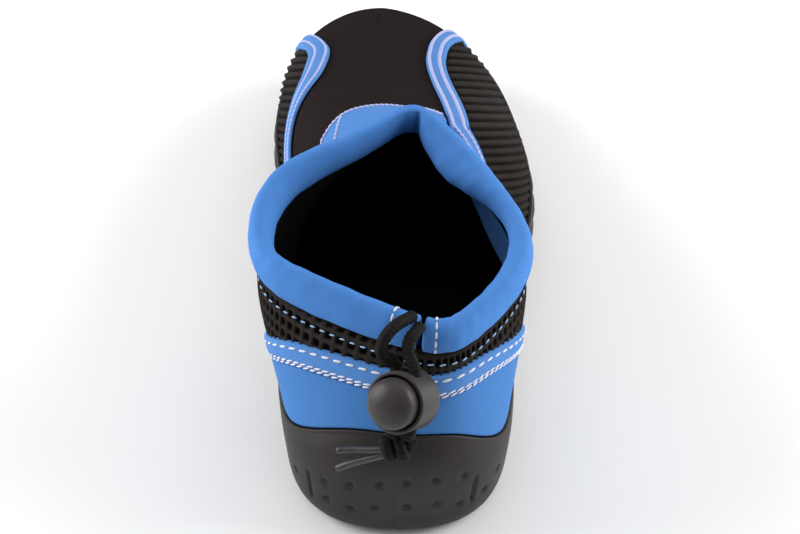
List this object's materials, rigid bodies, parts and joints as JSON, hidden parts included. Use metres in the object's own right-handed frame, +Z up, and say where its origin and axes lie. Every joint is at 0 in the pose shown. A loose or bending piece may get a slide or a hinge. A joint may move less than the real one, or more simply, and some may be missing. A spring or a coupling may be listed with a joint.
{
  "type": "water shoe",
  "caption": "Right water shoe: low rubber cup sole, thin black stretch upper with mesh sides, blue heel panel and collar, and a drawcord with a push-button lock at the heel.",
  "frame": {"origin": "on the floor, under the middle of the shoe's box, cords and lock left out", "axes": "+X to the outer side of the foot, +Y to the toe, +Z up"},
  "size_m": [0.0988, 0.2877, 0.0946],
  "materials": {
    "rubber": "satin moulded rubber, dark grey",
    "black_lining": "thin black lining cloth",
    "black_stretch": "smooth black stretch cloth, with black spacer mesh at the sides",
    "blue_stretch": "blue stretch cloth rolled over a tube",
    "blue_twill": "blue diagonal twill",
    "blue_tape": "blue woven tape with pale stitching",
    "lock_plastic": "black moulded plastic, satin",
    "cord": "black braided elastic cord"
  },
  "bodies": {
    "shoe": {"outsole": "rubber", "insole": "black_lining", "upper": "black_stretch", "collar": "blue_stretch", "heel_counter": "blue_twill", "counter_tape": "blue_tape", "band_outer": "blue_tape", "band_inner": "blue_tape", "tongue_patch": "blue_tape", "lock_barrel": "lock_plastic", "cord_outer": "cord", "cord_inner": "cord", "cord_knot": "cord", "cord_tail_upper": "cord", "cord_tail_lower": "cord"},
    "button": {"lock_button": "lock_plastic"}
  },
  "joints": [
    {"name": "lock_press", "type": "slide", "parent": "shoe", "child": "button", "axis": [0.4608, 0.7567, -0.4638], "range_m": [0, 0.003], "stiffness_N_per_m": 2000}
  ]
}
